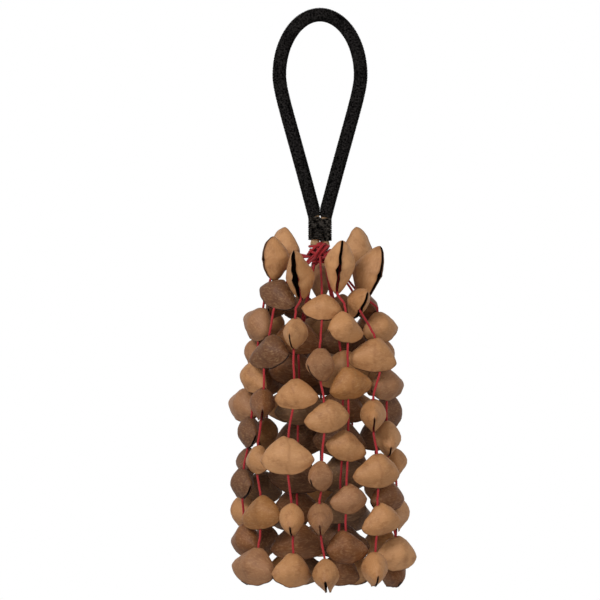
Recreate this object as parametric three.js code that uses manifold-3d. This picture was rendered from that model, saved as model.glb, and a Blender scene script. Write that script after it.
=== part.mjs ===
// Seed shell shaker: a cord-wound hand loop with eighteen hanging strands of hollow split seed shells.
// Millimetres, +Z up. The origin is the inside of the hand loop's top, where a hand or a peg carries it.
// The front of the shaker faces -Y. Angles round the bundle start at the front and grow towards +X.
import * as THREE from 'three';
import { mergeVertices } from 'three/addons/utils/BufferGeometryUtils.js';
import Module from 'manifold-3d';

const wasm = await Module();
wasm.setup();

// Driving dimensions: hand loop and binding
const ropeRadius = 2.75;
const windingThickness = 1.25;
const loopRadius = 23.6;
const loopRise = 35;
const loopLength = 113;
const bindingLength = 14.4;
const bindingCordRadius = 0.55;
const bindingTurns = 8.5;
const ropeTail = 2.2;
const legSlope = 0.262;
const bareLeg = 3;
const windingRibs = 36;
const boreRings = 24;
const ribDepth = 0.35;
const fitGap = 0.15;

// Driving dimensions: knot and threads
const threadRadius = 0.75;
const knotLoops = 7;
const coilRadius = 3.9;
const coilHalfWidth = 1.4;
const coilHalfHeight = 1.9;
const stemRadius = 1.4;
const jointGap = 0.6;
const rowZeroDrop = 5;

// Driving dimensions: seed shells and how they hang
const shellLength = 30;
const shellHeight = 22;
const shellDepth = 16.5;
const shellWall = 1.4;
const slitWidth = 2.8;
const sideGap = 7.7;
const threadRun = 10;

// Each strand lists its shells from the top down.
// row: row pitches below the knot. out: share of the ring radius. shift: degrees round the bundle.
// turn: degrees about the thread, 0 with the long axis along the ring. roll: degrees of tilt. size: scale.
const shell = (row, out, shift, turn, roll, size) => ({ row, out, shift, turn, roll, size });

const frontCentre = [
  shell(1.06, 0.66, 2, 4, 0, 0.78),
  shell(2.09, 0.88, 0, 62, 6, 0.92),
  shell(3.02, 0.98, 3, 8, -8, 0.88),
  shell(4.08, 0.96, 1, 62, 6, 0.82),
  shell(4.84, 1.0, 0, 88, 0, 0.9),
  shell(5.86, 1.0, 5, 80, 0, 0.9),
];
const frontRight = [
  shell(0.3, 0.66, 0, 90, 0, 1.06),
  shell(1.42, 0.86, 1, 14, 4, 0.84),
  shell(2.42, 0.84, 3, -6, -8, 0.88),
  shell(3.55, 0.83, 3, -10, 6, 0.82),
  shell(4.5, 0.87, 0, 4, -8, 0.82),
  shell(5.36, 0.88, -1, 6, -6, 0.9),
];
const rightFront = [
  shell(0.96, 0.7, 0, 70, 12, 0.8),
  shell(1.92, 0.97, 6, -44, 14, 0.94),
  shell(3.0, 0.98, 0, 44, 0, 0.9),
  shell(4.0, 1.04, 1, -30, 4, 0.96),
  shell(4.88, 1.03, 1, -22, -14, 0.9),
  shell(5.76, 1.0, 0, 50, 0, 0.96),
];
const rightSide = [
  shell(0.42, 0.7, 0, 90, 4, 1.06),
  shell(1.42, 0.86, 0, -36, 0, 0.86),
  shell(2.46, 0.94, 0, -28, -6, 0.88),
  shell(3.44, 0.96, 0, 24, 0, 0.94),
  shell(4.46, 0.98, 0, -32, 6, 0.9),
  shell(5.5, 1.1, 6, -50, 12, 0.94),
];
const rightBack = [
  shell(1.06, 0.66, 0, 8, 0, 0.8),
  shell(1.9, 0.9, 0, -28, 0, 0.86),
  shell(2.94, 0.98, 0, -38, 8, 0.92),
  shell(3.88, 1.06, 0, -8, 0, 0.8),
  shell(4.82, 1.08, 0, -14, 0, 0.94),
  shell(5.84, 1.02, 0, 16, -8, 0.92),
];
const frontLeft = [
  shell(0.4, 0.72, 0, 90, -4, 1.02),
  shell(1.53, 0.9, 1, 100, 0, 0.88),
  shell(2.62, 0.94, 1, 10, -10, 0.85),
  shell(3.72, 1.07, 0, 20, 2, 1.02),
  shell(4.86, 1.02, 2, 106, 0, 0.9),
  shell(5.76, 1.0, 3, 58, 8, 0.92),
];
const leftFront = [
  shell(0.84, 0.68, -3, 34, 6, 0.84),
  shell(1.86, 0.91, -3, 18, -10, 0.91),
  shell(2.8, 0.98, -3, -34, 0, 0.86),
  shell(3.8, 1.0, -8, 0, 0, 0.78),
  shell(4.76, 1.0, -4, 20, -4, 0.92),
  shell(5.72, 1.08, -2, 18, 10, 1.02),
];
const leftSide = [
  shell(0.16, 0.64, 0, 90, 0, 0.86),
  shell(1.38, 0.84, -1, 20, 22, 0.94),
  shell(2.34, 0.9, -2, 28, 10, 0.9),
  shell(3.32, 0.98, -6, 8, -6, 0.86),
  shell(4.24, 1.08, -2, 10, 0, 0.84),
  shell(5.26, 1.06, -2, 22, 0, 0.88),
];
const leftBack = [
  shell(1.04, 0.62, -1, -6, 0, 0.77),
  shell(1.88, 0.92, 0, 30, 0, 0.84),
  shell(2.84, 1.06, 0, 46, 12, 0.96),
  shell(3.9, 1.02, 0, 12, 0, 0.84),
  shell(4.78, 1.08, 0, 34, 0, 0.92),
  shell(5.8, 1.02, 2, -14, 6, 0.9),
];
const backLong = [
  shell(0.02, 0.66, 0, 90, 0, 0.94),
  shell(1.4, 0.86, 0, 16, 6, 0.86),
  shell(2.38, 0.92, 0, -12, -10, 0.9),
  shell(3.38, 0.96, 0, 20, 8, 0.9),
  shell(4.36, 1.0, 0, -18, -6, 0.92),
  shell(5.34, 1.0, 0, 10, 10, 0.9),
];
const backShort = [
  shell(1.06, 0.64, 0, 0, 0, 0.77),
  shell(1.9, 0.9, 0, -14, -8, 0.88),
  shell(2.88, 0.98, 0, 24, 6, 0.9),
  shell(3.88, 1.02, 0, -10, -10, 0.9),
  shell(4.86, 1.04, 0, 60, 0, 0.92),
  shell(5.86, 1.02, 0, -16, 8, 0.9),
];
const innerHigh = [
  shell(1.6, 0.33, 0, 58, 4, 0.94),
  shell(2.86, 0.36, 0, 58, -6, 1.0),
  shell(4.08, 0.38, 0, 56, 6, 1.04),
  shell(5.3, 0.4, 0, 58, -4, 1.04),
];
const innerLow = [
  shell(2.2, 0.36, 0, -58, -4, 1.04),
  shell(3.44, 0.36, 0, -58, 6, 1.04),
  shell(4.66, 0.32, 0, -56, -6, 0.95),
  shell(5.8, 0.29, 0, -58, 4, 0.9),
];
const backMiddle = [shell(0.44, 0.66, 0, 90, 0, 0.94), ...backLong.slice(1)];
const mirrored = (shells) => shells.map((s) => ({ ...s, shift: -s.shift, turn: -s.turn, roll: -s.roll }));

const strands = [
  { name: 'front_centre', angle: 0, shells: frontCentre },
  { name: 'front_right', angle: 24, shells: frontRight, radialTop: true },
  { name: 'right_front', angle: 48, shells: rightFront },
  { name: 'right_side', angle: 74, shells: rightSide, radialTop: true },
  { name: 'right_back', angle: 101, shells: rightBack },
  { name: 'back_right', angle: 127, shells: backLong, radialTop: true },
  { name: 'back_right_centre', angle: 153, shells: backShort },
  { name: 'back_centre', angle: 179, shells: mirrored(backMiddle), radialTop: true },
  { name: 'back_left_centre', angle: 205, shells: mirrored(backShort) },
  { name: 'back_left', angle: 231, shells: backLong, radialTop: true },
  { name: 'left_back', angle: 257, shells: leftBack },
  { name: 'left_side', angle: 283, shells: leftSide, radialTop: true },
  { name: 'left_front', angle: 309, shells: leftFront },
  { name: 'front_left', angle: 336, shells: frontLeft, radialTop: true },
];
const innerStrands = [
  { name: 'inner_left_front', angle: 304, shells: innerHigh, underside: true },
  { name: 'inner_right_front', angle: 58, shells: innerLow, underside: true },
  { name: 'inner_right_back', angle: 122, shells: innerHigh, underside: true },
  { name: 'inner_left_back', angle: 238, shells: innerLow, underside: true },
];

// Sizes that follow from the driving dimensions
const windingRadius = ropeRadius + fitGap + windingThickness;
const legOffset = ropeRadius + fitGap;
const loopTop = windingRadius;
const loopCentreZ = loopTop - loopRise;
const bindingTop = -loopLength;
const bindingBottom = bindingTop - bindingLength;
const coilHeight = 2 * (coilHalfHeight + threadRadius);
const collarHalf = 1.4 * threadRadius;
const knotZ = bindingBottom - ropeTail - 2 * fitGap - coilHeight - collarHalf;
const rowZeroZ = bindingBottom - rowZeroDrop;
const rowPitch = shellHeight + threadRun;
const ringRadius = (strands.length / 2) * (shellLength + sideGap) / (2 * Math.PI);
const collarRadius = coilRadius + coilHalfWidth;

// How many shells hang on each length of a strand, from the top down
const outerLengths = [['top', 1], ['upper', 3], ['lower', 2]];
const innerLengths = [['upper', 2], ['lower', 2]];

// Shape of a shell's section, in shares of its height and half depth
const ridgeShare = 0.55;
const ridgeDrop = 0.52;
const ridgeCurve = 2.1;
const baseLift = 0.3;
const endTaper = 0.93;
const planCurve = 1.1;
const planFullness = 0.6;
const cheekWidth = 0.68;
const cheekHeight = 0.15;
const bulgeHeight = 0.54;
const lipLimit = 0.35;
const wallLimit = 0.38;
const ridgeThickening = 1.7;
const footReach = 0.2;

// Shape of the hand loop's legs, in shares of their height
const shoulderPull = 0.124;
const anklePull = 0.68;

// Finishes
const finishes = {
  rope: { color: 0xb89b72, roughness: 0.9, metalness: 0 },
  blackCord: { color: 0x141414, roughness: 0.8, metalness: 0 },
  redThread: { color: 0xc01f2c, roughness: 0.75, metalness: 0 },
};
const shellTones = [0xb58a5c, 0xa87a4c, 0x9c6f45, 0xb07f52];

// Solids for joining, from closed geometry and back
const weldDistance = 1e-4;

function solidOf(geometry) {
  const bare = geometry.clone();
  bare.deleteAttribute('normal');
  bare.deleteAttribute('uv');
  const welded = mergeVertices(bare, weldDistance);
  const vertProperties = new Float32Array(welded.attributes.position.array);
  const triVerts = new Uint32Array(welded.index.array);
  return new wasm.Manifold(new wasm.Mesh({ numProp: 3, vertProperties, triVerts }));
}

function geometryOf(solid) {
  const mesh = solid.getMesh();
  const geometry = new THREE.BufferGeometry();
  geometry.setAttribute('position', new THREE.BufferAttribute(mesh.vertProperties, 3));
  geometry.setIndex(new THREE.BufferAttribute(mesh.triVerts, 1));
  geometry.computeVertexNormals();
  return geometry;
}

function named(name, geometry, finish) {
  const mesh = new THREE.Mesh(geometry, new THREE.MeshStandardMaterial(finish));
  mesh.name = name;
  return mesh;
}

// A closed skin over rings of points. Each ring has the same count, and caps triangulate one ring.
function loft(rings, capTriangles, closed = false) {
  const count = rings[0].length;
  const positions = rings.flat().flatMap((p) => [p.x, p.y, p.z]);
  const index = [];
  const spans = closed ? rings.length : rings.length - 1;
  for (let i = 0; i < spans; i += 1) {
    const here = i * count;
    const next = ((i + 1) % rings.length) * count;
    for (let j = 0; j < count; j += 1) {
      const k = (j + 1) % count;
      index.push(here + j, here + k, next + k, here + j, next + k, next + j);
    }
  }
  const last = (rings.length - 1) * count;
  for (const [a, b, c] of capTriangles) {
    index.push(a, c, b, last + a, last + b, last + c);
  }
  const geometry = new THREE.BufferGeometry();
  geometry.setAttribute('position', new THREE.Float32BufferAttribute(positions, 3));
  geometry.setIndex(index);
  geometry.computeVertexNormals();
  return geometry;
}

function fan(count) {
  return Array.from({ length: count - 2 }, (_, i) => [0, i + 1, i + 2]);
}

function polygon(sides, radius) {
  const corner = (i) => new THREE.Vector2(
    radius * Math.cos((2 * Math.PI * i) / sides),
    radius * Math.sin((2 * Math.PI * i) / sides),
  );
  return Array.from({ length: sides }, (_, i) => corner(i));
}

// A tube of a round section along an open run of points, each ring square to the run
function tubeAlong(points, sides, radius) {
  const section = polygon(sides, radius);
  const tangentAt = (i) => {
    const before = points[Math.max(i - 1, 0)];
    const after = points[Math.min(i + 1, points.length - 1)];
    return new THREE.Vector3().subVectors(after, before).normalize();
  };
  const begin = tangentAt(0);
  const upright = Math.abs(begin.z) > 0.9;
  let side = (upright ? new THREE.Vector3(1, 0, 0) : new THREE.Vector3(0, 0, 1)).cross(begin);
  const rings = points.map((point, i) => {
    const tangent = tangentAt(i);
    side = side.clone().addScaledVector(tangent, -side.dot(tangent)).normalize();
    const up = new THREE.Vector3().crossVectors(tangent, side);
    return section.map((s) => point.clone().addScaledVector(side, s.x).addScaledVector(up, s.y));
  });
  return loft(rings, fan(sides));
}

// Least clear distance between a wound tube's passes, on its points, leaving out near ones of the same pass
function leastGap(points, radius, nearSteps) {
  let least = Infinity;
  for (let i = 0; i < points.length; i += 1) {
    for (let j = i + nearSteps; j < points.length; j += 1) {
      least = Math.min(least, points[i].distanceTo(points[j]));
    }
  }
  return least - 2 * radius;
}

// Hand loop: a round top, two legs drawn together, and straight ends side by side under the binding
class LoopCurve extends THREE.CurvePath {
  constructor(endZ) {
    super();
    const flat = (x, z) => new THREE.Vector3(x, 0, z);
    const legRise = loopLength + loopCentreZ;
    const ankleRise = anklePull * legRise;
    const legWith = (side) => new THREE.CubicBezierCurve3(
      flat(side * loopRadius, loopCentreZ),
      flat(side * loopRadius, loopCentreZ - shoulderPull * legRise),
      flat(side * (legOffset + legSlope * ankleRise), bindingTop + ankleRise),
      flat(side * legOffset, bindingTop),
    );
    const leftLeg = legWith(-1);
    const leftUp = new THREE.CubicBezierCurve3(leftLeg.v3, leftLeg.v2, leftLeg.v1, leftLeg.v0);
    this.add(new THREE.LineCurve3(flat(-legOffset, endZ), flat(-legOffset, bindingTop)));
    this.add(leftUp);
    this.add(new RoundTop());
    this.add(legWith(1));
    this.add(new THREE.LineCurve3(flat(legOffset, bindingTop), flat(legOffset, endZ)));
  }
}

class RoundTop extends THREE.Curve {
  getPoint(t) {
    const angle = Math.PI * (1 - t);
    return new THREE.Vector3(loopRadius * Math.cos(angle), 0, loopCentreZ + loopRise * Math.sin(angle));
  }
}

// The wound stretch of the loop, from one leg's end of the winding to the other's
function woundStretch() {
  const loop = new LoopCurve(bindingBottom);
  const from = (bindingLength + bareLeg) / loop.getLength();
  const shareOf = (share) => from + (1 - 2 * from) * share;
  return {
    point: (share) => loop.getPointAt(shareOf(share)),
    tangent: (share) => loop.getTangentAt(shareOf(share)),
  };
}

function coreRope() {
  const ropeSides = 8;
  const stretch = woundStretch();
  const endZ = bindingBottom - ropeTail;
  const points = [new THREE.Vector3(-legOffset, 0, endZ), new THREE.Vector3(-legOffset, 0, bindingTop)];
  for (let i = 0; i <= boreRings; i += 1) {
    points.push(stretch.point(i / boreRings));
  }
  points.push(new THREE.Vector3(legOffset, 0, bindingTop), new THREE.Vector3(legOffset, 0, endZ));
  return tubeAlong(points, ropeSides, ropeRadius);
}

// The wound layer is ribbed outside and has the rope's bore. It thins where the two legs press together.
function handleWinding() {
  const sides = 8;
  const stretch = woundStretch();
  const stations = 2 * windingRibs;
  const ringAt = (share, radius) => {
    const centre = stretch.point(share);
    const tangent = stretch.tangent(share);
    const across = new THREE.Vector3(tangent.z, 0, -tangent.x);
    const inLegs = centre.z < bindingTop + loopLength / 2;
    const kept = inLegs ? Math.min(radius, Math.abs(centre.x) - fitGap) : radius;
    return polygon(sides, kept).map((s) => centre.clone()
      .addScaledVector(across, s.x).add(new THREE.Vector3(0, s.y, 0)));
  };
  const outer = [];
  for (let i = 0; i <= stations; i += 1) {
    const groove = i % 2 === 0 ? ribDepth : 0;
    outer.push(ringAt(i / stations, windingRadius - groove));
  }
  const bore = [];
  const boreRadius = (ropeRadius + fitGap) / Math.cos(Math.PI / sides);
  for (let i = boreRings; i >= 0; i -= 1) {
    bore.push(ringAt(i / boreRings, boreRadius));
  }
  return loft([...outer, ...bore], [], true);
}

// Binding: one cord wound round both rope legs, its ends run straight off the last turns
function bindingCord() {
  const stepsPerTurn = 14;
  const sides = 5;
  const reach = ropeRadius + 2 * fitGap + bindingCordRadius;
  const pitch = (bindingLength - 2 * bindingCordRadius) / bindingTurns;
  const straight = 2 * legOffset;
  const bend = Math.PI * reach;
  const round = 2 * (straight + bend);
  const onStadium = (distance, z) => {
    const d = ((distance % round) + round) % round;
    if (d < straight) return new THREE.Vector3(-legOffset + d, -reach, z);
    if (d < straight + bend) {
      const a = (d - straight) / reach - Math.PI / 2;
      return new THREE.Vector3(legOffset + reach * Math.cos(a), reach * Math.sin(a), z);
    }
    if (d < 2 * straight + bend) return new THREE.Vector3(legOffset - (d - straight - bend), reach, z);
    const a = (d - 2 * straight - bend) / reach + Math.PI / 2;
    return new THREE.Vector3(-legOffset + reach * Math.cos(a), reach * Math.sin(a), z);
  };
  const steps = bindingTurns * stepsPerTurn;
  const lowest = bindingBottom + bindingCordRadius;
  const points = [];
  for (let i = 0; i <= steps; i += 1) {
    const turn = i / stepsPerTurn;
    points.push(onStadium(straight / 2 + turn * round, lowest + turn * pitch));
  }
  const first = new THREE.Vector3(-2 * bindingCordRadius, 0, 0).add(points[0]);
  const final = new THREE.Vector3(2 * bindingCordRadius, 0, 0).add(points[points.length - 1]);
  const gap = leastGap(points, bindingCordRadius, stepsPerTurn / 2);
  console.log(`binding_cord least gap to itself ${gap.toFixed(2)} mm`);
  return tubeAlong([first, ...points, final], sides, bindingCordRadius);
}

// Thread stem: the threads' common bundle, from between the rope ends to the collar that the strands leave
function threadStem() {
  const top = bindingBottom - ropeTail - fitGap;
  const profile = [
    new THREE.Vector2(0, top),
    new THREE.Vector2(stemRadius, top),
    new THREE.Vector2(stemRadius, knotZ + collarHalf),
    new THREE.Vector2(collarRadius - threadRadius, knotZ + collarHalf),
    new THREE.Vector2(collarRadius, knotZ),
    new THREE.Vector2(collarRadius - threadRadius, knotZ - collarHalf),
    new THREE.Vector2(stemRadius, knotZ - collarHalf * 2),
    new THREE.Vector2(0, knotZ - collarHalf * 2.4),
  ];
  const sides = 14;
  const turned = new THREE.LatheGeometry(profile.reverse(), sides);
  return turned.rotateX(Math.PI / 2);
}

// Knot: thread coiled round the stem above the collar, in loops that lean as tied thread does
function knotCoil() {
  const sides = 5;
  const stepsPerLoop = 12;
  const loopShare = 0.94;
  const steps = knotLoops * stepsPerLoop;
  const middleZ = bindingBottom - ropeTail - fitGap - threadRadius - coilHalfHeight;
  const points = [];
  for (let i = 0; i <= steps; i += 1) {
    const round = loopShare * 2 * Math.PI * (i / steps);
    const loop = 2 * Math.PI * knotLoops * (i / steps);
    const radius = coilRadius + coilHalfWidth * Math.cos(loop);
    const z = middleZ + coilHalfHeight * Math.sin(loop);
    points.push(new THREE.Vector3(radius * Math.sin(round), -radius * Math.cos(round), z));
  }
  const gap = leastGap(points, threadRadius, stepsPerLoop / 2);
  console.log(`knot_coil least gap to itself ${gap.toFixed(2)} mm`);
  return tubeAlong(points, sides, threadRadius);
}

// Seed shell: a hollow almond split along its lower edge, lofted from open sections along its length.
// The thread enters at the ridge, up, and leaves by the slit, down. The long axis is X.
function shellGeometry() {
  const stations = [-1, -0.62, 0, 0.62, 1];
  const sectionAt = (along) => {
    const half = (shellDepth / 2) * (1 - Math.abs(endTaper * along) ** planCurve) ** planFullness;
    const ridge = shellHeight * (ridgeShare - ridgeDrop * Math.abs(along) ** ridgeCurve);
    const base = shellHeight * (ridgeShare - 1 + baseLift * along ** 2);
    const rise = ridge - base;
    const lip = Math.min(slitWidth / 2, lipLimit * half);
    const wall = Math.min(shellWall, wallLimit * half);
    const bulge = base + bulgeHeight * rise;
    const right = [[lip, base], [cheekWidth * half, base + cheekHeight * rise], [half, bulge]];
    const innerRight = [half - wall, bulge];
    const left = right.map(([y, z]) => [-y, z]).reverse();
    const innerLeft = [-innerRight[0], innerRight[1]];
    const innerRidge = [0, ridge - ridgeThickening * wall];
    const outline = [...right, [0, ridge], ...left, innerLeft, innerRidge, innerRight];
    return outline.map(([y, z]) => new THREE.Vector3((along * shellLength) / 2, y, z));
  };
  const capTriangles = [
    [0, 1, 9], [1, 2, 9], [2, 3, 8], [2, 8, 9], [3, 4, 8], [4, 7, 8], [4, 5, 7], [5, 6, 7],
  ];
  return loft(stations.map(sectionAt), capTriangles);
}

// Where each shell of a strand sits, and the thread's direction there
function strandLayout({ angle, shells, radialTop, underside }, ends) {
  const spot = (degrees, radius, z) => {
    const a = THREE.MathUtils.degToRad(degrees);
    return new THREE.Vector3(radius * Math.sin(a), -radius * Math.cos(a), z);
  };
  const rimStart = spot(angle, collarRadius + jointGap / 2, knotZ);
  const underStart = spot(angle, (collarRadius + stemRadius) / 2, knotZ - 2 * collarHalf);
  const start = underside ? underStart : rimStart;
  const centres = shells.map((s) => spot(angle + s.shift, s.out * ringRadius, rowZeroZ - s.row * rowPitch));
  const heading = (from, to) => new THREE.Vector3().subVectors(to, from).normalize();
  const directions = centres.map((centre, i) => {
    const arriving = heading(i === 0 ? start : centres[i - 1], centre);
    const straight = i === centres.length - 1 || (i === 0 && radialTop);
    if (straight) return arriving;
    return arriving.add(heading(centre, centres[i + 1])).normalize();
  });
  const places = shells.map((s, i) => ({
    ...s,
    centre: centres[i],
    direction: directions[i],
    around: THREE.MathUtils.degToRad(angle + s.shift),
    entry: centres[i].clone().addScaledVector(directions[i], -ridgeShare * shellHeight * s.size),
    exit: centres[i].clone().addScaledVector(directions[i], (1 - ridgeShare) * shellHeight * s.size),
  }));
  const footOf = ({ centre, direction, size }) => centre.clone()
    .addScaledVector(direction, footReach * shellHeight * size)
    .add(new THREE.Vector3(0, 0, (-shellLength / 2) * size));
  const between = (i) => {
    const leaving = i === 1 && radialTop ? footOf(places[0]) : places[i - 1].exit.clone();
    return leaving.lerp(places[i].entry, 0.5);
  };
  return { places, pivots: [start, ...ends.slice(0, -1).map(between)] };
}

// A shell turned about its thread, rolled about its thread hole and set in its place
function placedShell(geometry, place) {
  const up = place.direction.clone().negate();
  const ring = new THREE.Vector3(Math.cos(place.around), Math.sin(place.around), 0);
  const long = ring.addScaledVector(up, -ring.dot(up)).normalize();
  const thick = new THREE.Vector3().crossVectors(up, long);
  const hole = ridgeShare * shellHeight;
  const matrix = new THREE.Matrix4().makeBasis(long, thick, up).setPosition(place.centre)
    .multiply(new THREE.Matrix4().makeRotationZ(THREE.MathUtils.degToRad(place.turn)))
    .multiply(new THREE.Matrix4().makeScale(place.size, place.size, place.size))
    .multiply(new THREE.Matrix4().makeTranslation(0, 0, hole))
    .multiply(new THREE.Matrix4().makeRotationY(THREE.MathUtils.degToRad(place.roll)))
    .multiply(new THREE.Matrix4().makeTranslation(0, 0, -hole));
  return solidOf(geometry.clone().applyMatrix4(matrix));
}

// One length of thread with the shells tied on it, as a solid about its own pivot
function threadedRun(geometry, places, pivot, nextPivot) {
  const sides = 3;
  const first = pivot.clone().lerp(places[0].entry, jointGap / 2 / pivot.distanceTo(places[0].entry));
  const points = [first, ...places.flatMap((place) => [place.centre, place.exit])];
  const last = points.pop();
  if (nextPivot) {
    points.push(last, nextPivot.clone().lerp(last, jointGap / 2 / nextPivot.distanceTo(last)));
  }
  const thread = solidOf(tubeAlong(points, sides, threadRadius));
  const joined = places.reduce((solid, place) => solid.add(placedShell(geometry, place)), thread);
  return geometryOf(joined).translate(-pivot.x, -pivot.y, -pivot.z);
}

// A strand hangs from the knot in lengths, each swinging on the one above
function strandGroup(strand, lengths, tone) {
  const ends = lengths.map((_, i) => lengths.slice(0, i + 1).reduce((sum, [, count]) => sum + count, 0));
  const { places, pivots } = strandLayout(strand, ends);
  const geometry = shellGeometry();
  const holder = new THREE.Group();
  let parent = holder;
  let from = new THREE.Vector3();
  lengths.forEach(([length, count], i) => {
    const run = places.slice(ends[i] - count, ends[i]);
    const hinge = new THREE.Group();
    hinge.position.subVectors(pivots[i], from);
    const solid = threadedRun(geometry, run, pivots[i], pivots[i + 1]);
    const finish = { color: shellTones[(tone + i) % shellTones.length], roughness: 0.7, metalness: 0 };
    hinge.add(named(`${strand.name}_${length}`, solid, finish));
    parent.add(hinge);
    parent = hinge;
    from = pivots[i];
  });
  return holder;
}

const shaker = new THREE.Group();
shaker.name = 'seed_shell_shaker';
shaker.add(named('core_rope', coreRope(), finishes.rope));
shaker.add(named('handle_winding', handleWinding(), finishes.blackCord));
shaker.add(named('binding_cord', bindingCord(), finishes.blackCord));
shaker.add(named('thread_stem', threadStem(), finishes.redThread));
shaker.add(named('knot_coil', knotCoil(), finishes.redThread));
strands.forEach((strand, i) => shaker.add(strandGroup(strand, outerLengths, i)));
innerStrands.forEach((strand, i) => shaker.add(strandGroup(strand, innerLengths, i)));

export default shaker;
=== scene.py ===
"""Seed shell shaker: cord-wound hand loop with hanging red threads of hollow split seed shells."""

import math
import random

import bpy
from mathutils import Matrix, Vector, noise


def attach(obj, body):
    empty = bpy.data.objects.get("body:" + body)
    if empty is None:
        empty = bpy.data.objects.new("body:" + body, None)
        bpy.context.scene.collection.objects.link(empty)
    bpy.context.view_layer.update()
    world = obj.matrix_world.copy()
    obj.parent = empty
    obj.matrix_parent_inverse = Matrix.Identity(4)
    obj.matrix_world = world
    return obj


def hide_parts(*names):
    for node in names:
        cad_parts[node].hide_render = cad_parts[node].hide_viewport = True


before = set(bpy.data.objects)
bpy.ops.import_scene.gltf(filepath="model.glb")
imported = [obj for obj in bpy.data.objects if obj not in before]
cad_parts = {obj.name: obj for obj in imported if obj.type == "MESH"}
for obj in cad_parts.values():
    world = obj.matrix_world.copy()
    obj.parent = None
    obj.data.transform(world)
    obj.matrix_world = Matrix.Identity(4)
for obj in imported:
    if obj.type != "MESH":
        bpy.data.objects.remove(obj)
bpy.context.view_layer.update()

MM = 0.001

# Hand loop, binding and knot, in millimetres
ROPE_RADIUS = 2.75
FIT_GAP = 0.15
WINDING_RADIUS = 4.15
LEG_OFFSET = ROPE_RADIUS + FIT_GAP
LOOP_RADIUS = 23.6
LOOP_RISE = 35.0
LOOP_LENGTH = 113.0
LOOP_CENTRE_Z = WINDING_RADIUS - LOOP_RISE
LEG_SLOPE = 0.262
SHOULDER_PULL = 0.124
ANKLE_PULL = 0.68
BINDING_TOP = -LOOP_LENGTH
BINDING_BOTTOM = BINDING_TOP - 14.4
ROPE_TAIL = 2.2
KNOT_Z = -136.25
COLLAR_RADIUS = 5.3
COLLAR_HALF = 1.05
STEM_RADIUS = 1.4
JOINT_GAP = 0.6

# Threads and shells, in millimetres
THREAD_RADIUS = 0.75
THREAD_SPACING = 0.6
THREAD_BOW = 0.3
CAD_SHELL_LENGTH = 30.0
SHELL_LENGTH = 30.5
SHELL_HEIGHT = 22.0
SHELL_DEPTH = 16.5
SHELL_WALL = 1.4
SLIT_WIDTH = 1.7
RIDGE_SHARE = 0.55
RIDGE_DROP = 0.53
BASE_LIFT = 0.25
FOLD_ROUNDING = 0.1
FOOT_REACH = 0.2
ROW_ZERO_Z = BINDING_BOTTOM - 5.0
ROW_PITCH = 32.0
RING_RADIUS = 42.0

# Lay of each yarn: plies, pitch in millimetres, sides of its section and depth of its grooves
THREAD_LAY = (3, 3.6, 9, 0.2)
STEM_LAY = (7, 14, 21, 0.25)
ROPE_LAY = (3, 15, 18, 0.2)
WINDING_LAY = (2, 2.4, 8, 0.14)
BINDING_LAY = (2, 2.2, 8, 0.14)

# Lengths of a strand: name, first shell and the one after its last
OUTER_LENGTHS = (("top", 0, 1), ("upper", 1, 4), ("lower", 4, 6))
INNER_LENGTHS = (("upper", 0, 2), ("lower", 2, 4))

# Shell finishes as sRGB values
TONES = {
    "l": (0.74, 0.54, 0.36),
    "t": (0.69, 0.49, 0.31),
    "p": (0.60, 0.42, 0.28),
    "o": (0.61, 0.41, 0.22),
    "b": (0.46, 0.28, 0.14),
    "g": (0.45, 0.32, 0.21),
    "d": (0.40, 0.25, 0.14),
}

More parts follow.
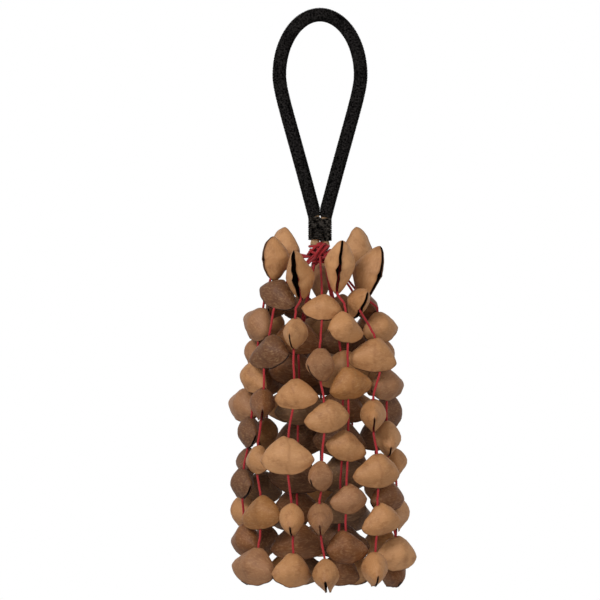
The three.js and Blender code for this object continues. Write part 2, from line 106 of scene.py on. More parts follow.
# Each strand: name, angle round the bundle, first shell strung radially, tone letters, then for each shell
# its row, reach, shift, turn, roll, size and how far its slit gapes
STRANDS = (
    ("front_centre", 0, False, "tptppt", (
        (1.06, 0.66, 2, 4, 0, 0.78, 1.0),
        (2.09, 0.88, 0, 62, 6, 0.92, 0.6),
        (3.02, 0.98, 3, 8, -8, 0.88, 0.8),
        (4.08, 0.96, 1, 62, 6, 0.82, 0.9),
        (4.84, 1.0, 0, 88, 0, 0.9, 0.6),
        (5.86, 1.0, 5, 80, 0, 0.9, 1.5),
    )),
    ("front_right", 24, True, "ltotpb", (
        (0.3, 0.66, 0, 90, 0, 1.06, 1.0),
        (1.42, 0.86, 1, 14, 4, 0.84, 0.8),
        (2.42, 0.84, 3, -6, -8, 0.88, 0.8),
        (3.55, 0.83, 3, -10, 6, 0.82, 0.8),
        (4.5, 0.87, 0, 4, -8, 0.8, 0.8),
        (5.36, 0.88, -1, 6, -6, 0.9, 0.8),
    )),
    ("right_front", 48, False, "tttttt", (
        (0.96, 0.7, 0, 70, 12, 0.78, 1.4),
        (1.92, 0.97, 6, -44, 14, 0.94, 0.8),
        (3.0, 0.98, 0, 44, 0, 0.9, 0.8),
        (4.0, 1.04, 1, -30, 4, 0.94, 0.8),
        (4.88, 1.03, 1, -22, -14, 0.85, 0.8),
        (5.76, 1.0, 0, 50, 0, 0.96, 0.8),
    )),
    ("right_side", 74, True, "ttplbl", (
        (0.42, 0.7, 0, 90, 4, 1.06, 1.3),
        (1.42, 0.86, 0, -36, 0, 0.86, 0.9),
        (2.46, 0.94, 0, -28, -6, 0.88, 0.9),
        (3.44, 0.96, 0, 24, 0, 0.94, 0.8),
        (4.46, 0.98, 0, -32, 6, 0.85, 0.9),
        (5.5, 1.1, 6, -50, 12, 0.94, 0.8),
    )),
    ("right_back", 101, False, "bpdtlb", (
        (1.06, 0.66, 0, 8, 0, 0.8, 1.0),
        (1.9, 0.9, 0, -28, 0, 0.86, 1.6),
        (2.94, 0.98, 0, -38, 8, 0.92, 1.0),
        (3.88, 1.06, 0, -8, 0, 0.8, 1.2),
        (4.82, 1.08, 0, -14, 0, 0.94, 2.0),
        (5.84, 1.02, 0, 16, -8, 0.92, 1.0),
    )),
    ("back_right", 127, True, "lbtdpo", "long"),
    ("back_right_centre", 153, False, "btodgt", "short"),
    ("back_centre", 179, True, "ptdbot", "middle mirrored"),
    ("back_left_centre", 205, False, "dbtpgo", "short mirrored"),
    ("back_left", 231, True, "ltbogd", "long"),
    ("left_back", 257, False, "bppdtg", (
        (1.04, 0.62, -1, -6, 0, 0.77, 1.0),
        (1.88, 0.92, 0, 30, 0, 0.77, 1.6),
        (2.84, 1.06, 0, 46, 12, 0.96, 0.9),
        (3.9, 1.02, 0, 12, 0, 0.84, 1.3),
        (4.78, 1.08, 0, 34, 0, 0.92, 1.0),
        (5.8, 1.02, 2, -14, 6, 0.9, 1.0),
    )),
    ("left_side", 283, True, "tptddb", (
        (0.16, 0.64, 0, 90, 0, 0.86, 1.2),
        (1.38, 0.84, -1, 20, 22, 0.94, 0.9),
        (2.34, 0.9, -2, 28, 10, 0.82, 1.8),
        (3.32, 0.98, -6, 8, -6, 0.86, 1.0),
        (4.24, 1.08, -2, 10, 0, 0.84, 1.2),
        (5.26, 1.06, -2, 22, 0, 0.88, 1.2),
    )),
    ("left_front", 309, False, "ddbtop", (
        (0.84, 0.68, -3, 34, 6, 0.84, 1.0),
        (1.86, 0.91, -3, 18, -10, 0.91, 0.9),
        (2.8, 0.98, -3, -34, 0, 0.86, 1.3),
        (3.8, 1.0, -8, 0, 0, 0.78, 0.8),
        (4.76, 1.0, -4, 20, -4, 0.92, 0.8),
        (5.72, 1.08, -2, 18, 10, 1.02, 0.8),
    )),
    ("front_left", 336, True, "tltltt", (
        (0.4, 0.72, 0, 90, -4, 1.02, 1.8),
        (1.53, 0.9, 1, 100, 0, 0.88, 0.7),
        (2.62, 0.94, 1, 10, -10, 0.85, 0.8),
        (3.72, 1.07, 0, 20, 2, 1.02, 0.8),
        (4.86, 1.02, 2, 106, 0, 0.9, 0.9),
        (5.76, 1.0, 3, 58, 8, 0.92, 0.8),
    )),
    ("inner_left_front", 304, False, "bgdb", "high"),
    ("inner_right_front", 58, False, "tdgb", "low"),
    ("inner_right_back", 122, False, "dbgd", "high"),
    ("inner_left_back", 238, False, "bdbg", "low"),
)
SHARED_SHELLS = {
    "long": (
        (0.02, 0.66, 0, 90, 0, 0.94, 1.2),
        (1.4, 0.86, 0, 16, 6, 0.86, 0.9),
        (2.38, 0.92, 0, -12, -10, 0.9, 0.8),
        (3.38, 0.96, 0, 20, 8, 0.9, 0.9),
        (4.36, 1.0, 0, -18, -6, 0.92, 0.8),
        (5.34, 1.0, 0, 10, 10, 0.9, 1.0),
    ),
    "short": (
        (1.06, 0.64, 0, 0, 0, 0.77, 1.0),
        (1.9, 0.9, 0, -14, -8, 0.88, 0.9),
        (2.88, 0.98, 0, 24, 6, 0.9, 0.8),
        (3.88, 1.02, 0, -10, -10, 0.9, 0.9),
        (4.86, 1.04, 0, 60, 0, 0.92, 1.1),
        (5.86, 1.02, 0, -16, 8, 0.9, 1.6),
    ),
    "high": (
        (1.6, 0.33, 0, 58, 4, 0.94, 0.9),
        (2.86, 0.36, 0, 58, -6, 1.0, 0.8),
        (4.08, 0.38, 0, 56, 6, 1.04, 1.0),
        (5.3, 0.4, 0, 58, -4, 1.04, 0.9),
    ),
    "low": (
        (2.2, 0.36, 0, -58, -4, 1.04, 0.9),
        (3.44, 0.36, 0, -58, 6, 1.04, 1.0),
        (4.66, 0.32, 0, -56, -6, 0.95, 0.8),
        (5.8, 0.29, 0, -58, 4, 0.9, 1.0),
    ),
}
SHARED_SHELLS["middle"] = ((0.44, 0.66, 0, 90, 0, 0.94, 1.2), *SHARED_SHELLS["long"][1:])

# Shells rolled about their own long axis, in degrees, so that the slit looks as in the photograph
LEANS = {
    ("front_right", 0): 26,
    ("front_left", 0): -10,
    ("right_side", 0): 38,
    ("right_front", 0): 28,
    ("left_side", 0): -24,
}


def shells_of(entry):
    """The shells of a strand's table entry, with a shared list mirrored where it asks."""
    if not isinstance(entry, str):
        return entry
    shells = SHARED_SHELLS[entry.split()[0]]
    if "mirrored" not in entry:
        return shells
    return tuple((r, o, -shift, -turn, -roll, size, gape) for r, o, shift, turn, roll, size, gape in shells)


# Camera at the photograph's angle, level with the middle of the shaker
PIXEL = 0.58 * MM
FRAME_PIXELS = 600
ORIGIN_PIXEL_X = 320
ORIGIN_PIXEL_Y = 21.8
SENSOR = 36
camera_distance = 3.0
target = Vector((
    (FRAME_PIXELS / 2 - ORIGIN_PIXEL_X) * PIXEL, 0, (ORIGIN_PIXEL_Y - FRAME_PIXELS / 2) * PIXEL
))
camera_data = bpy.data.cameras.new("camera")
camera_data.sensor_width = SENSOR
camera_data.lens = SENSOR * camera_distance / (FRAME_PIXELS * PIXEL)
camera_data.clip_end = 20
camera = bpy.data.objects.new("camera", camera_data)
bpy.context.scene.collection.objects.link(camera)
camera.location = target + Vector((0, -camera_distance, 0))
camera.rotation_euler = (math.radians(90), 0, 0)
bpy.context.scene.camera = camera


# Node helpers
def new_material(name):
    material = bpy.data.materials.new(name)
    material.use_nodes = True
    return material, material.node_tree.nodes, material.node_tree.links


def add_node(nodes, kind, **inputs):
    node = nodes.new(kind)
    for key, value in inputs.items():
        node.inputs[key.replace("_", " ")].default_value = value
    return node


def linear(colour):
    """A linear colour from sRGB shares."""
    return tuple(c / 12.92 if c <= 0.04045 else ((c + 0.055) / 1.055) ** 2.4 for c in colour)


def mix_colour(nodes, links, factor, first, second, blend="MIX"):
    """A colour mix whose factor and colours are sockets or plain values."""
    node = nodes.new("ShaderNodeMix")
    node.data_type = "RGBA"
    node.blend_type = blend
    for index, value in ((0, factor), (6, first), (7, second)):
        if isinstance(value, bpy.types.NodeSocket):
            links.new(value, node.inputs[index])
        elif index == 0:
            node.inputs[index].default_value = value
        else:
            node.inputs[index].default_value = (*value, 1)
    return node.outputs[2]


def ramp(nodes, links, value, low, high):
    """A value spread over 0 to 1 between two limits."""
    node = nodes.new("ShaderNodeMapRange")
    links.new(value, node.inputs["Value"])
    node.inputs["From Min"].default_value = low
    node.inputs["From Max"].default_value = high
    return node.outputs["Result"]


def scaled(nodes, links, value, factor):
    node = nodes.new("ShaderNodeMath")
    node.operation = "MULTIPLY"
    links.new(value, node.inputs[0])
    node.inputs[1].default_value = factor
    return node.outputs[0]


def noise_value(nodes, links, vector, scale, detail, rough):
    node = add_node(nodes, "ShaderNodeTexNoise", Scale=scale, Detail=detail, Roughness=rough)
    links.new(vector, node.inputs["Vector"])
    return node.outputs["Fac"]


def attribute(nodes, name):
    node = nodes.new("ShaderNodeAttribute")
    node.attribute_name = name
    return node


def shell_material():
    """Dry nut shell: fine streaked grain, blotches, darker ends and fold line, and painted shade at the slit
    rim, in the drilled hole and over the inside of the hollow.
    """
    material, nodes, links = new_material("seed_shell")
    shader = nodes["Principled BSDF"]
    local = attribute(nodes, "grain").outputs["Vector"]
    tone = attribute(nodes, "tone").outputs["Color"]
    # Painted shade: the first mask below darkens the inside of the hollow, the slit lips and the drilled hole
    # as shade. The second darkens the ends and the fold line, and it also paints shade at the slit rim and
    # the hole.
    inside = attribute(nodes, "inside").outputs["Fac"]
    marks_and_painted_shade = attribute(nodes, "marks_and_painted_shade").outputs["Fac"]
    stretch = nodes.new("ShaderNodeMapping")
    stretch.inputs["Scale"].default_value = (0.35, 1, 1)
    links.new(local, stretch.inputs["Vector"])
    streak = noise_value(nodes, links, stretch.outputs["Vector"], 900, 5, 0.65)
    blotch = noise_value(nodes, links, local, 150, 3, 0.55)
    fleck = noise_value(nodes, links, local, 1700, 2, 0.5)
    dark = mix_colour(nodes, links, 1.0, tone, (0.52, 0.42, 0.34), "MULTIPLY")
    pale = mix_colour(nodes, links, 0.3, tone, linear((0.86, 0.69, 0.5)))
    blotches = scaled(nodes, links, ramp(nodes, links, blotch, 0.48, 0.76), 0.72)
    streaks = scaled(nodes, links, ramp(nodes, links, streak, 0.48, 0.72), 0.75)
    flecks = scaled(nodes, links, ramp(nodes, links, fleck, 0.62, 0.8), 0.4)
    colour = mix_colour(nodes, links, blotches, tone, dark)
    colour = mix_colour(nodes, links, streaks, colour, pale)
    colour = mix_colour(nodes, links, flecks, colour, dark)
    # Darker ends and fold line, with painted shade at the slit rim and in the drilled hole
    colour = mix_colour(nodes, links, scaled(nodes, links, marks_and_painted_shade, 0.75), colour, dark)
    # Painted shade: the inside of the hollow, the slit lips and the hole go dark brown
    colour = mix_colour(nodes, links, inside, colour, linear((0.17, 0.10, 0.06)))
    links.new(colour, shader.inputs["Base Color"])
    rough = nodes.new("ShaderNodeMapRange")
    links.new(streak, rough.inputs["Value"])
    rough.inputs["To Min"].default_value = 0.48
    rough.inputs["To Max"].default_value = 0.72
    links.new(rough.outputs["Result"], shader.inputs["Roughness"])
    bump = add_node(nodes, "ShaderNodeBump", Strength=0.35, Distance=0.0004)
    links.new(streak, bump.inputs["Height"])
    links.new(bump.outputs["Normal"], shader.inputs["Normal"])
    shader.inputs["Specular IOR Level"].default_value = 0.35
    return material


def fibre_material(name, colour, deep, scale, spread, roughness, sheen, gloss):
    """Spun fibre: colour that varies along the yarn, flecked more sharply with a smaller spread."""
    material, nodes, links = new_material(name)
    shader = nodes["Principled BSDF"]
    place = nodes.new("ShaderNodeTexCoord").outputs["Object"]
    fine = noise_value(nodes, links, place, scale, 4, 0.7)
    broad = noise_value(nodes, links, place, scale / 9, 2, 0.5)
    flecks = ramp(nodes, links, fine, 0.52 - spread, 0.52 + spread)
    mixed = mix_colour(nodes, links, flecks, linear(deep), linear(colour))
    patches = scaled(nodes, links, ramp(nodes, links, broad, 0.5, 0.75), 0.5)
    mixed = mix_colour(nodes, links, patches, mixed, linear(deep))
    links.new(mixed, shader.inputs["Base Color"])
    shader.inputs["Roughness"].default_value = roughness
    shader.inputs["Sheen Weight"].default_value = sheen
    shader.inputs["Specular IOR Level"].default_value = gloss
    bump = add_node(nodes, "ShaderNodeBump", Strength=0.5, Distance=0.0002)
    links.new(fine, bump.inputs["Height"])
    links.new(bump.outputs["Normal"], shader.inputs["Normal"])
    return material


SHELL = shell_material()
RED = fibre_material("red_thread", (0.76, 0.19, 0.21), (0.5, 0.06, 0.08), 2200, 0.2, 0.75, 0.15, 0.3)
BLACK = fibre_material("black_cord", (0.19, 0.18, 0.175), (0.004, 0.004, 0.004), 1000, 0.1, 0.8, 0.0, 0.0)
BINDING = fibre_material("binding_cord", (0.30, 0.28, 0.26), (0.004, 0.004, 0.004), 620, 0.09, 0.8, 0.0, 0.0)
ROPE = fibre_material("rope", (0.80, 0.66, 0.50), (0.56, 0.42, 0.29), 2200, 0.2, 0.85, 0.15, 0.3)


# Mesh helpers. Points are in millimetres until a piece is made.
CURVE_STEPS = 24


def make_piece(name, points, faces, material, body, slot):
    """A smooth mesh with one material that rides on a body; its slot argument is not used."""
    mesh = bpy.data.meshes.new(name)
    mesh.from_pydata([p * MM for p in points], [], faces)
    mesh.materials.append(material)
    mesh.shade_smooth()
    mesh.update()
    piece = bpy.data.objects.new(name, mesh)
    bpy.context.scene.collection.objects.link(piece)
    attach(piece, body)
    return piece


def smooth_path(points, spacing):
    """Points at an even spacing on a smooth curve through the given points."""
    ends = [2 * points[0] - points[1], *points, 2 * points[-1] - points[-2]]
    dense = []
    for a, b, c, d in zip(ends, ends[1:], ends[2:], ends[3:]):
        for i in range(CURVE_STEPS):
            t = i / CURVE_STEPS
            dense.append(0.5 * (
                2 * b + (c - a) * t + (2 * a - 5 * b + 4 * c - d) * t ** 2 + (3 * b - a - 3 * c + d) * t ** 3
            ))
    dense.append(points[-1])
    return evenly(dense, spacing)


def evenly(dense, spacing):
    """The same run of points at an even spacing."""
    lengths = [0.0]
    for a, b in zip(dense, dense[1:]):
        lengths.append(lengths[-1] + (b - a).length)
    count = max(2, round(lengths[-1] / spacing))
    even = []
    k = 0
    for i in range(count + 1):
        want = lengths[-1] * i / count
        while k < len(dense) - 2 and lengths[k + 1] < want:
            k += 1
        span = lengths[k + 1] - lengths[k]
        even.append(dense[k].lerp(dense[k + 1], 0 if span == 0 else (want - lengths[k]) / span))
    return even


def twisted_tube(path, radius, plies, pitch, sides, depth):
    """Rings of a plied yarn along a path: a lobed section that turns once every pitch, with flat ends."""
    points = []
    faces = []
    tangent = (path[1] - path[0]).normalized()
    side = tangent.orthogonal().normalized()
    run = 0.0
    for i, place in enumerate(path):
        ahead = path[min(i + 1, len(path) - 1)]
        behind = path[max(i - 1, 0)]
        tangent = (ahead - behind).normalized()
        side = (side - tangent * side.dot(tangent)).normalized()
        up = tangent.cross(side)
        run += (place - behind).length
        for j in range(sides):
            angle = 2 * math.pi * j / sides
            lobe = radius * (1 - depth * (0.5 - 0.5 * math.cos(plies * (angle - 2 * math.pi * run / pitch))))
            points.append(place + (side * math.cos(angle) + up * math.sin(angle)) * lobe)
    for i in range(len(path) - 1):
        for j in range(sides):
            k = (j + 1) % sides
            faces.append((i * sides + j, i * sides + k, (i + 1) * sides + k, (i + 1) * sides + j))
    last = (len(path) - 1) * sides
    faces.append(tuple(reversed(range(sides))))
    faces.append(tuple(range(last, last + sides)))
    return points, faces


def joined(parts):
    """One list of points and faces from several."""
    points = []
    faces = []
    for more_points, more_faces in parts:
        base = len(points)
        points.extend(more_points)
        faces.extend(tuple(i + base for i in face) for face in more_faces)
    return points, faces


# Where the strands' shells sit and how their threads run
def spot(degrees, radius, z):
    angle = math.radians(degrees)
    return Vector((radius * math.sin(angle), -radius * math.cos(angle), z))


def strand_layout(strand, angle, radial_top, shells, inner):
    """Where a strand's shells sit, and the points that its lengths of thread turn about."""
    start = spot(angle, COLLAR_RADIUS + JOINT_GAP / 2, KNOT_Z)
    if inner:
        start = spot(angle, (COLLAR_RADIUS + STEM_RADIUS) / 2, KNOT_Z - 2 * COLLAR_HALF)
    centres = [spot(angle + s[2], s[1] * RING_RADIUS, ROW_ZERO_Z - s[0] * ROW_PITCH) for s in shells]
    places = []
    for i, (centre, s) in enumerate(zip(centres, shells)):
        direction = (centre - (start if i == 0 else centres[i - 1])).normalized()
        if i < len(shells) - 1 and not (i == 0 and radial_top):
            direction = (direction + (centres[i + 1] - centre).normalized()).normalized()
        height = SHELL_HEIGHT * s[5]
        places.append({
            "centre": centre,
            "direction": direction,
            "around": math.radians(angle + s[2]),
            "turn": math.radians(s[3]),
            "roll": math.radians(s[4]),
            "lean": math.radians(LEANS.get((strand, i), 0)),
            "size": s[5],
            "gape": s[6],
            "entry": centre - direction * RIDGE_SHARE * height,
            "exit": centre + direction * (1 - RIDGE_SHARE) * height,
        })
    pivots = [start]
    for _, first, _ in (INNER_LENGTHS if inner else OUTER_LENGTHS)[1:]:
        above = places[first - 1]
        leaving = above["exit"]
        if first == 1 and radial_top:
            foot = Vector((0, 0, -CAD_SHELL_LENGTH / 2 * above["size"]))
            reach = above["direction"] * FOOT_REACH * SHELL_HEIGHT * above["size"]
            leaving = above["centre"] + reach + foot
        pivots.append(leaving.lerp(places[first]["entry"], 0.5))
    for place in places:
        if place["lean"]:
            place["exit"] = shell_matrix(place) @ Vector((0, 0, (RIDGE_SHARE - 1) * SHELL_HEIGHT))
    return places, pivots


def shell_matrix(place):
    """From a shell's own frame, long axis X and ridge up, to its place on the thread."""
    up = -place["direction"]
    ring = Vector((math.cos(place["around"]), math.sin(place["around"]), 0))
    long = (ring - up * ring.dot(up)).normalized()
    thick = up.cross(long)
    basis = Matrix((long, thick, up)).transposed().to_4x4()
    hole = Matrix.Translation((0, 0, RIDGE_SHARE * SHELL_HEIGHT))
    return (
        Matrix.Translation(place["centre"]) @ basis @ Matrix.Rotation(place["turn"], 4, "Z")
        @ Matrix.Rotation(place["lean"], 4, "X")
        @ Matrix.Scale(place["size"], 4) @ hole @ Matrix.Rotation(place["roll"], 4, "Y") @ hole.inverted()
    )


# A seed shell: rings along its length, each an open section with an outer and an inner wall
STATIONS = 33
OUTER_STEPS = 26
INNER_STEPS = 12
CLOSING_START = 0.76
TIP_START = 0.86
LUMP_HEIGHT = 0.62
HOLE_DEPTH = 1.0
SLIT_SWAY = 0.7
DRILL_WIDENING = 0.75
DRILL_REACH = 1.3
SECTION_SKEW = 1.1
SECTION_ROUNDING = 0.85
SECTION_CROWN = 0.25
PLAN_POWER = 0.58
RIDGE_POWER = 1.3
CREASE_WIDTH = 0.55
CREASE_WANDER = 3.2
RIM_SHARE = 0.03


def section_share(w):
    """Half width of a shell's section at a share of its height: a tulip, drawn in towards its slit."""
    return math.sin(math.pi * w ** SECTION_SKEW) ** (SECTION_ROUNDING - SECTION_CROWN * w)


def folded(along):
    """How far along a shell's length: 0 at its rounded middle fold and 1 at its end."""
    whole = math.hypot(1, FOLD_ROUNDING) - FOLD_ROUNDING
    return (math.hypot(along, FOLD_ROUNDING) - FOLD_ROUNDING) / whole


def shell_rings(gape, rng):
    """Rings of (point, painted inner shade, end and fold marks with painted shade at the rim and hole) in the
    shell's own frame, in millimetres.
    """
    drop_left = rng.uniform(-0.08, 0.08)
    drop_right = rng.uniform(-0.08, 0.08)
    plump = rng.uniform(0.97, 1.05)
    skew = rng.uniform(-0.2, 0.2)
    crease = rng.uniform(0.1, 0.6)
    lump_place = Vector((rng.uniform(0, 50), rng.uniform(0, 50), rng.uniform(0, 50)))
    rings = []
    for i in range(STATIONS):
        share = -1 + 2 * i / (STATIONS - 1)
        u = 0.997 * (0.45 * share + 0.55 * math.sin(share * math.pi / 2))
        reach = abs(u)
        x = u * SHELL_LENGTH / 2
        peak = folded(u + skew * (1 - u * u))
        half = plump * (SHELL_DEPTH / 2) * (1 - peak) ** PLAN_POWER
        drop = drop_left if u < 0 else drop_right
        ridge = SHELL_HEIGHT * (RIDGE_SHARE - RIDGE_DROP * peak ** RIDGE_POWER + drop * reach ** 2)
        base = SHELL_HEIGHT * (RIDGE_SHARE - 1 + BASE_LIFT * reach ** 2 + drop * reach ** 2)
        closing = math.sqrt(max(1 - max((reach - CLOSING_START) / (1 - CLOSING_START), 0) ** 2, 0.0004))
        middle = 0.5 * (ridge + base)
        ridge = middle + (ridge - middle) * closing
        base = middle + (base - middle) * closing
        rise = ridge - base
        drilled = DRILL_WIDENING * math.exp(-(x / DRILL_REACH) ** 2)
        lip = min(gape * SLIT_WIDTH / 2 * (1 - 0.35 * reach ** 2) + drilled, 0.55 * half)
        sway = SLIT_SWAY * (1 - reach ** 2) * noise.noise(Vector((x * 0.24, 0, 0)) + lump_place)
        wall = min(SHELL_WALL, 0.45 * half, 0.3 * rise)
        ring = []
        for j in range(OUTER_STEPS + 1):
            v = -1 + 2 * j / OUTER_STEPS
            w = 0.5 * (1 + math.cos(math.pi * v))
            bulge = half * section_share(w)
            y = math.copysign(math.hypot(bulge, lip * (1 - w)), -v) if j != OUTER_STEPS // 2 else 0.0
            point = Vector((x, y + sway * (1 - w) ** 4, base + rise * w))
            lump = noise.noise(point * 0.13 + lump_place) + 0.5 * noise.noise(point * 0.31 + lump_place)
            point += Vector((0, y, point.z)).normalized() * LUMP_HEIGHT * closing * lump
            hole = math.exp(-((x ** 2 + y ** 2) / 2.2)) if w > 0.9 else 0.0
            point.z -= HOLE_DEPTH * hole
            rim = max(0.0, 1 - w / RIM_SHARE)
            tip = max(reach - TIP_START, 0) / (1 - TIP_START)
            fold = x + CREASE_WANDER * noise.noise(Vector((0, y * 0.2, point.z * 0.16)) + lump_place)
            creased = crease * math.exp(-((fold / CREASE_WIDTH) ** 2))
            # Darker ends and fold line, and painted shade at the slit rim and in the drilled hole
            marks_and_painted_shade = min(1, 0.6 * tip + rim + 0.9 * hole + creased)
            # Painted shade inside the hollow: the slit lips, the drilled hole and the slit side near the ends
            inside = min(1, 0.5 * rim ** 2 + 0.6 * hole + 0.7 * tip * max(0.0, 1 - w / 0.3))
            ring.append((point, inside, marks_and_painted_shade))
        # The inner wall: fully darkened in both masks as painted shade
        for j in range(INNER_STEPS + 1):
            v = 1 - 2 * j / INNER_STEPS
            w = 0.5 * (1 + math.cos(math.pi * v))
            bulge = (half - wall) * section_share(w)
            y = math.copysign(math.hypot(bulge, lip * (1 - w)), -v) if j != INNER_STEPS // 2 else 0.0
            point = Vector((x, y + sway * (1 - w) ** 4, base + wall + (rise - 2.2 * wall) * w))
            ring.append((point, 1.0, 1.0))
        rings.append(ring)
    return rings


def shells_piece(name, placed, body):
    """All the shells on one length of thread, as one piece. placed has (place, tone letter, seed)."""
    points = []
    faces = []
    grain = []
    tones = []
    insides = []
    marks_and_painted_shades = []
    for place, tone, seed in placed:
        rng = random.Random(seed)
        matrix = shell_matrix(place)
        rings = shell_rings(place["gape"], rng)
        count = len(rings[0])
        base = len(points)
        offset = Vector((rng.uniform(0, 1), rng.uniform(0, 1), rng.uniform(0, 1)))
        shade = rng.uniform(0.92, 1.08)
        colour = [c * shade for c in linear(TONES[tone])]
        for ring in rings:
            for point, inside, marks_and_painted_shade in ring:
                points.append(matrix @ point)
                grain.append(point * MM + offset)
                tones.append((*colour, 1.0))
                insides.append(inside)
                marks_and_painted_shades.append(marks_and_painted_shade)
        for i in range(len(rings) - 1):
            for j in range(count):
                k = (j + 1) % count
                here = base + i * count
                faces.append((here + j, here + k, here + count + k, here + count + j))
        last = base + (len(rings) - 1) * count
        faces.append(tuple(reversed(range(base, base + count))))
        faces.append(tuple(range(last, last + count)))
    piece = make_piece(name, points, faces, SHELL, body, "seed_shell")
    mesh = piece.data
    # Masks of painted shade: one for the inside of the hollow, one for the rim and hole together with the
    # darker ends and fold line
    for attribute_name, kind, field, values in (
        ("grain", "FLOAT_VECTOR", "vector", [c for g in grain for c in g]),
        ("tone", "FLOAT_COLOR", "color", [c for t in tones for c in t]),
        ("inside", "FLOAT", "value", insides),
        ("marks_and_painted_shade", "FLOAT", "value", marks_and_painted_shades),
    ):
        mesh.attributes.new(attribute_name, kind, "POINT").data.foreach_set(field, values)
    return piece


# Strands: one run of thread for each length, through its shells
SLIT_FOOT_ALONG = 0.42
SLIT_FOOT_DROP = 0.2
THREAD_SEED = 1000


def slit_foot(place):
    """Where the thread leaves a radial top shell: in its slit, near the lower end."""
    matrix = shell_matrix(place)
    ends = []
    for side in (-1, 1):
        along = side * SLIT_FOOT_ALONG * SHELL_LENGTH
        ends.append(matrix @ Vector((along, 0, -SLIT_FOOT_DROP * SHELL_HEIGHT)))
    return min(ends, key=lambda end: end.z)


def thread_points(places, pivot, next_pivot, radial, rng):
    """A thread's course. In a radial top shell it turns down within the shell and leaves at the slit's lower
    end.
    """
    stops = [pivot]
    for place in places:
        bow = Vector((rng.uniform(-1, 1), rng.uniform(-1, 1), 0)) * THREAD_BOW
        stops.append(stops[-1].lerp(place["entry"], 0.5) + bow)
        stops.append(place["entry"])
        stops.append(place["centre"].lerp(place["exit"], 0.0 if radial else 0.3))
        if radial:
            stops.append(slit_foot(place))
        elif next_pivot is not None or place is not places[-1]:
            stops.append(place["exit"])
    if next_pivot is not None:
        stops.append(next_pivot)
    return smooth_path(stops, THREAD_SPACING)


for number, (strand, angle, radial_top, tones, entry) in enumerate(STRANDS):
    inner = strand.startswith("inner")
    places, pivots = strand_layout(strand, angle, radial_top, shells_of(entry), inner)
    for part, (length_name, first, end) in enumerate(INNER_LENGTHS if inner else OUTER_LENGTHS):
        body = f"{strand}_{length_name}"
        rng = random.Random(THREAD_SEED + 10 * number + part)
        next_pivot = pivots[part + 1] if part + 1 < len(pivots) else None
        radial = radial_top and part == 0
        path = thread_points(places[first:end], pivots[part], next_pivot, radial, rng)
        tube = twisted_tube(path, THREAD_RADIUS, *THREAD_LAY)
        thread = make_piece(f"{body}_thread", *tube, RED, body, "red_thread")
        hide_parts(body)
        placed = [(places[i], tones[i], 100 * number + i) for i in range(first, end)]
        shells = shells_piece(f"{body}_shells", placed, body)
        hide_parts(body)


# Hand loop: the rope at its core, the fine winding over it, and the binding that holds its two ends together
LOOP_STEPS = 60
PATH_SPACING = 0.8


def loop_path(end_z, spacing):
    """Points down the left end, up the left leg, round the top and down again."""
    leg_rise = LOOP_LENGTH + LOOP_CENTRE_Z
    ankle = ANKLE_PULL * leg_rise
    controls = (
        Vector((LOOP_RADIUS, 0, LOOP_CENTRE_Z)),
        Vector((LOOP_RADIUS, 0, LOOP_CENTRE_Z - SHOULDER_PULL * leg_rise)),
        Vector((LEG_OFFSET + LEG_SLOPE * ankle, 0, BINDING_TOP + ankle)),
        Vector((LEG_OFFSET, 0, BINDING_TOP)),
    )
    right = []
    for i in range(LOOP_STEPS + 1):
        t = i / LOOP_STEPS
        weights = ((1 - t) ** 3, 3 * t * (1 - t) ** 2, 3 * t ** 2 * (1 - t), t ** 3)
        right.append(sum((c * w for c, w in zip(controls, weights)), Vector()))
    if end_z < BINDING_TOP:
        right.append(Vector((LEG_OFFSET, 0, end_z)))
    left = [Vector((-p.x, 0, p.z)) for p in reversed(right)]
    top = []
    for i in range(1, LOOP_STEPS):
        a = math.pi * (1 - i / LOOP_STEPS)
        top.append(Vector((LOOP_RADIUS * math.cos(a), 0, LOOP_CENTRE_Z + LOOP_RISE * math.sin(a))))
    return evenly(left + top + right, spacing)


def winding_path(core, turns, reach, steps_per_turn, noise_place):
    """A helix round a core path in the XZ plane, each turn a little uneven as wound by hand."""
    steps = turns * steps_per_turn
    path = []
    for i in range(steps + 1):
        at = (len(core) - 1) * i / steps
        k = min(int(at), len(core) - 2)
        centre = core[k].lerp(core[k + 1], at - k)
        tangent = (core[min(k + 2, len(core) - 1)] - core[max(k - 1, 0)]).normalized()
        across = Vector((tangent.z, 0, -tangent.x))
        angle = 2 * math.pi * i / steps_per_turn
        wobble = 0.07 * noise.noise(centre * 0.6 + Vector((angle, noise_place, 0)))
        place = centre + across * math.cos(angle) * (reach + wobble)
        place.y = math.sin(angle) * (reach + wobble)
        if abs(centre.x) < LOOP_RADIUS / 2 and centre.z < 0:
            outward = math.copysign(1, centre.x)
            place.x = outward * max(outward * place.x, 0.8 * WINDING_CORD)
        path.append(place)
    return path


WINDING_TURNS = 290
WINDING_CORD = 0.6
rope_core = loop_path(BINDING_BOTTOM - ROPE_TAIL, PATH_SPACING)
rope_tube = twisted_tube(rope_core, ROPE_RADIUS, *ROPE_LAY)
rope = make_piece("core_rope_laid", *rope_tube, ROPE, "handle", "rope")
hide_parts("core_rope")

winding_core = loop_path(BINDING_TOP, PATH_SPACING)
winding_line = winding_path(winding_core, WINDING_TURNS, WINDING_RADIUS - WINDING_CORD, 20, 3.0)
winding_tube = twisted_tube(winding_line, WINDING_CORD, *WINDING_LAY)
winding = make_piece("loop_winding", *winding_tube, BLACK, "handle", "black_cord")
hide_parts("handle_winding")


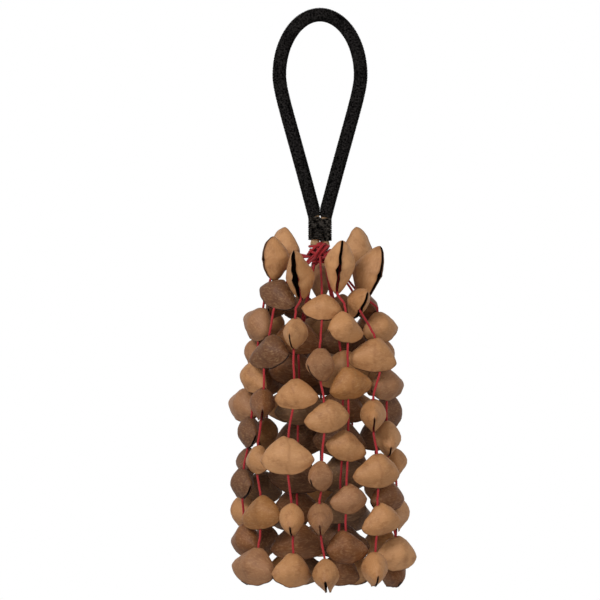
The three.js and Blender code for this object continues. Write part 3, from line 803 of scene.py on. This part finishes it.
def binding_path(turns, steps_per_turn, cord_radius):
    """One cord wound round both rope ends, from the bottom up."""
    reach = ROPE_RADIUS + FIT_GAP + cord_radius
    straight = 2 * LEG_OFFSET
    bend = math.pi * reach
    around = 2 * (straight + bend)
    height = BINDING_TOP - BINDING_BOTTOM - 2 * cord_radius
    path = []
    for i in range(turns * steps_per_turn + 1):
        turn = i / steps_per_turn
        d = (straight / 2 + turn * around) % around
        z = BINDING_BOTTOM + cord_radius + height * turn / turns
        if d < straight:
            path.append(Vector((d - LEG_OFFSET, -reach, z)))
        elif d < straight + bend:
            a = (d - straight) / reach - math.pi / 2
            path.append(Vector((LEG_OFFSET + reach * math.cos(a), reach * math.sin(a), z)))
        elif d < 2 * straight + bend:
            path.append(Vector((LEG_OFFSET - (d - straight - bend), reach, z)))
        else:
            a = (d - 2 * straight - bend) / reach + math.pi / 2
            path.append(Vector((reach * math.cos(a) - LEG_OFFSET, reach * math.sin(a), z)))
    return path


BINDING_TURNS = 12
BINDING_CORD = 0.59
binding_line = binding_path(BINDING_TURNS, 36, BINDING_CORD)
binding_tube = twisted_tube(binding_line, BINDING_CORD, *BINDING_LAY)
binding = make_piece("end_binding", *binding_tube, BINDING, "handle", "black_cord")
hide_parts("binding_cord")


# Knot: the threads' common knot, a loose bundle of slanting turns with others crossing under them
KNOT_STEPS = 44
KNOT_CLOSURE = 0.96
KNOT_FLATTENING = 0.86


def knot_turn(centre, radius, offset, lean, yaw, waver):
    """One turn of thread round the knot, its plane leaning in the view from the front."""
    turn = Matrix.Rotation(yaw, 3, "Z") @ Matrix.Rotation(lean, 3, "Y")
    path = []
    for i in range(KNOT_STEPS + 1):
        a = math.pi / 2 + KNOT_CLOSURE * 2 * math.pi * i / KNOT_STEPS
        swell = radius * (1 + waver * math.sin(2 * a + 3 * offset))
        flat = KNOT_FLATTENING * swell * math.sin(a)
        path.append(centre + turn @ Vector((swell * math.cos(a), flat, offset)))
    return path


# Each turn: radius, offset along its axis, lean and yaw in degrees, unevenness
KNOT_TURNS = (
    (5.9, -3.3, -44, 8, 0.05),
    (6.6, -1.6, -48, -6, 0.08),
    (6.9, 0.2, -43, 4, 0.06),
    (6.5, 1.9, -50, 10, 0.08),
    (5.6, 3.5, -42, -8, 0.05),
    (5.2, -2.4, 36, 20, 0.06),
    (5.6, -0.6, 31, -14, 0.08),
    (5.4, 1.3, 40, 6, 0.06),
    (4.9, 4.6, -8, 30, 0.05),
    (5.0, -4.8, 6, -20, 0.05),
    (7.4, -0.8, -58, -16, 0.1),
)
KNOT_THREAD = 0.8
BUNDLE_RADIUS = 3.6
knot_centre = Vector((-0.8, 0, -134.2))
knot_parts = []
for radius, offset, lean, yaw, waver in KNOT_TURNS:
    ring = knot_turn(knot_centre, radius, offset, math.radians(lean), math.radians(yaw), waver)
    knot_parts.append(twisted_tube(ring, KNOT_THREAD, *THREAD_LAY))
bundle = smooth_path([Vector((0, 0, -128.2)), Vector((0.4, 0, -133)), Vector((0, 0.3, -139))], THREAD_SPACING)
knot_parts.append(twisted_tube(bundle, BUNDLE_RADIUS, *STEM_LAY))
knot = make_piece("thread_knot", *joined(knot_parts), RED, "handle", "red_thread")
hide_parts("knot_coil", "thread_stem")


# Stage: pale floor well under the hanging shaker, white to the camera, and soft light
FLOOR_Z = -0.46
floor_material, floor_nodes, _ = new_material("floor")
floor_nodes["Principled BSDF"].inputs["Base Color"].default_value = (0.85, 0.85, 0.85, 1)
floor_nodes["Principled BSDF"].inputs["Roughness"].default_value = 0.9
floor_mesh = bpy.data.meshes.new("floor")
floor_corners = [(-2, -2, FLOOR_Z), (2, -2, FLOOR_Z), (2, 1.2, FLOOR_Z), (-2, 1.2, FLOOR_Z)]
floor_mesh.from_pydata(floor_corners, [], [(0, 1, 2, 3)])
floor_mesh.materials.append(floor_material)
floor = bpy.data.objects.new("floor", floor_mesh)
bpy.context.scene.collection.objects.link(floor)

world = bpy.data.worlds.new("studio")
bpy.context.scene.world = world
world.use_nodes = True
world_nodes = world.node_tree.nodes
world_links = world.node_tree.links
soft = world_nodes["Background"]
soft.inputs["Color"].default_value = (1, 1, 1, 1)
soft.inputs["Strength"].default_value = 0.28
seen = world_nodes.new("ShaderNodeBackground")
seen.inputs["Color"].default_value = (1, 1, 1, 1)
choose = world_nodes.new("ShaderNodeMixShader")
ray = world_nodes.new("ShaderNodeLightPath")
shown = ray.outputs["Is Camera Ray"]
for kind in ("Is Glossy Ray", "Is Transmission Ray"):
    either = world_nodes.new("ShaderNodeMath")
    either.operation = "MAXIMUM"
    world_links.new(shown, either.inputs[0])
    world_links.new(ray.outputs[kind], either.inputs[1])
    shown = either.outputs[0]
world_links.new(shown, choose.inputs["Fac"])
world_links.new(soft.outputs["Background"], choose.inputs[1])
world_links.new(seen.outputs["Background"], choose.inputs[2])
world_links.new(choose.outputs["Shader"], world_nodes["World Output"].inputs["Surface"])


def area_light(name, place, power, size):
    data = bpy.data.lights.new(name, "AREA")
    data.energy = power
    data.size = size
    light = bpy.data.objects.new(name, data)
    bpy.context.scene.collection.objects.link(light)
    light.location = place
    light.rotation_euler = (Vector((0, 0, -0.2)) - Vector(place)).to_track_quat("-Z", "Y").to_euler()


area_light("key", (-1.0, -1.7, 0.9), 28, 0.7)
area_light("fill", (0.9, -1.8, 0.1), 8, 0.9)

bpy.context.scene.view_settings.view_transform = "Standard"
